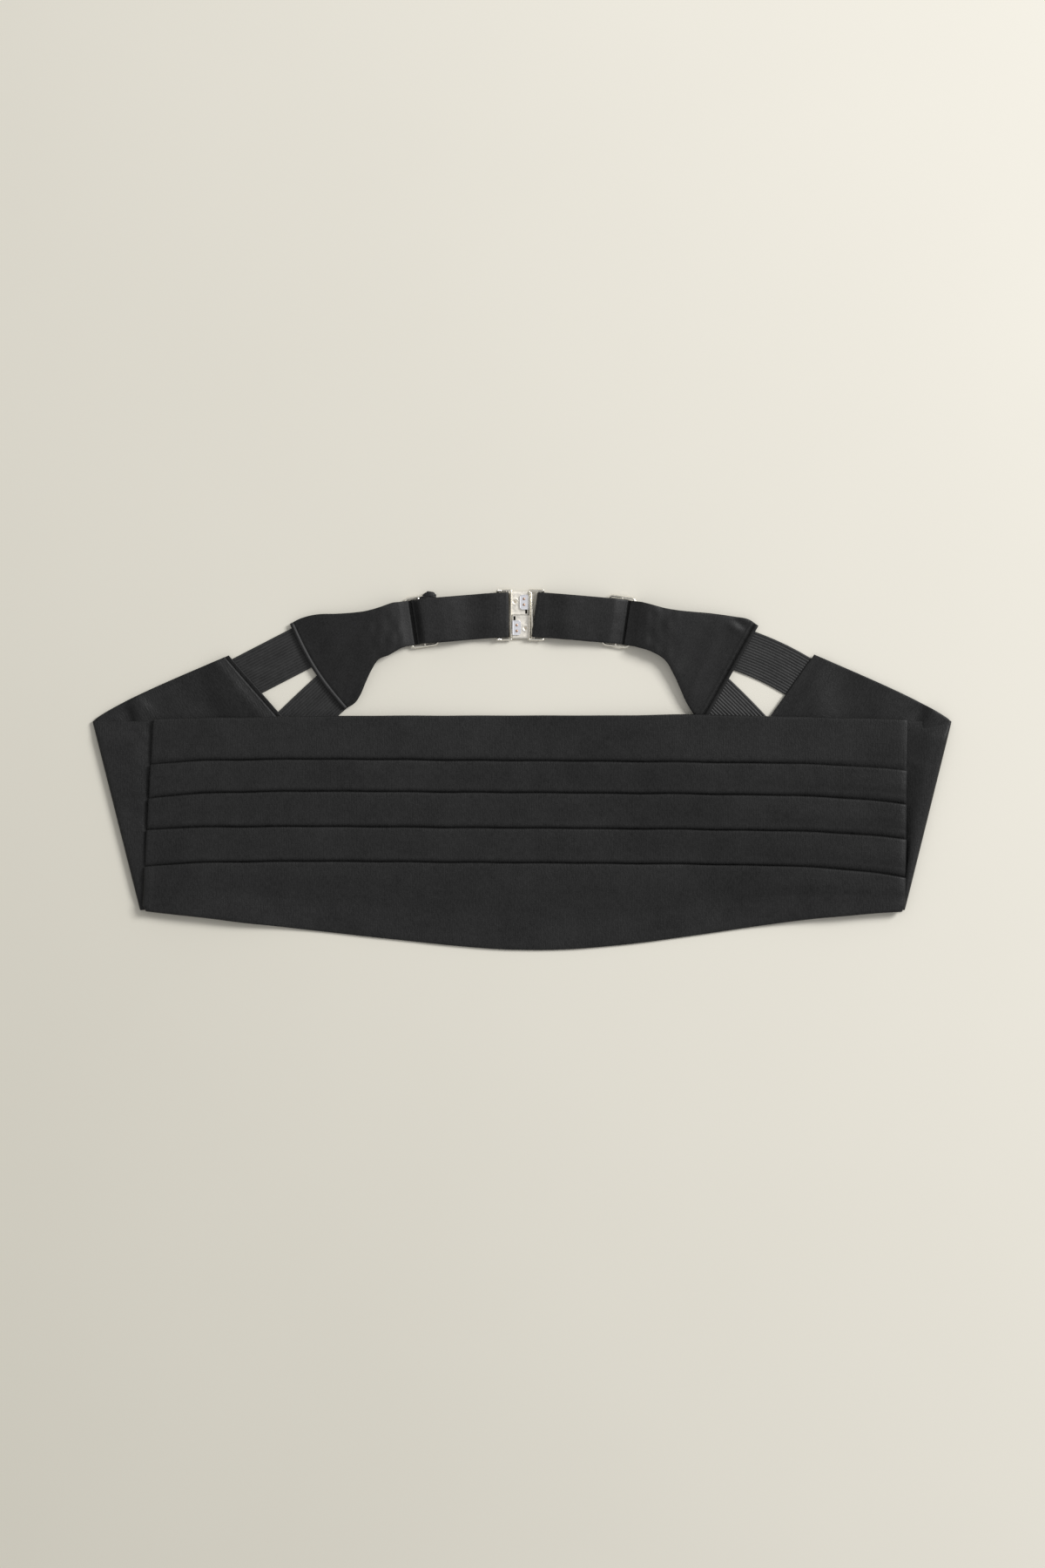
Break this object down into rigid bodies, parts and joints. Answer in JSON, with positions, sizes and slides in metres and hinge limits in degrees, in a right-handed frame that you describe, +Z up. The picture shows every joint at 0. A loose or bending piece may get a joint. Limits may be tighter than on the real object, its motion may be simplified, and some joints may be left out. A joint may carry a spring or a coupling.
{
  "type": "cummerbund",
  "caption": "Pleated black cummerbund lying flat, with side wings, ribbed elastics, shaped yokes, straps with slides and a hooked metal clasp.",
  "frame": {"origin": "middle of the whole outline in plan, on the surface that the cummerbund lies on", "axes": "+X along the pleats towards the right end as seen from above, +Y from the pleated front towards the fastened straps, +Z up from the surface"},
  "size_m": [0.4786, 0.201, 0.007],
  "materials": {
    "pleated_cloth": "fine-ribbed black satin cloth",
    "plain_cloth": "plain black twill-woven cloth",
    "strap_cloth": "black ribbon strap",
    "ribbed_elastic": "black elastic with lengthwise ribs",
    "slider_metal": "bright plated wire slide",
    "clasp_metal": "polished plated sheet metal",
    "catch_metal": "satin steel with two rivets"
  },
  "bodies": {
    "root": {"front_panel": "pleated_cloth", "wing_left": "plain_cloth", "wing_right": "plain_cloth", "yoke_left": "plain_cloth", "yoke_right": "plain_cloth", "strap_left": "strap_cloth", "strap_right": "strap_cloth", "strap_tail_left": "strap_cloth", "elastic_upper_left": "ribbed_elastic", "elastic_lower_left": "ribbed_elastic", "elastic_upper_right": "ribbed_elastic", "elastic_lower_right": "ribbed_elastic", "slider_left": "slider_metal", "slider_right": "slider_metal", "clasp_half_left": "clasp_metal", "clasp_half_right": "clasp_metal", "clasp_catch_left": "catch_metal", "clasp_catch_right": "catch_metal"}
  },
  "joints": []
}
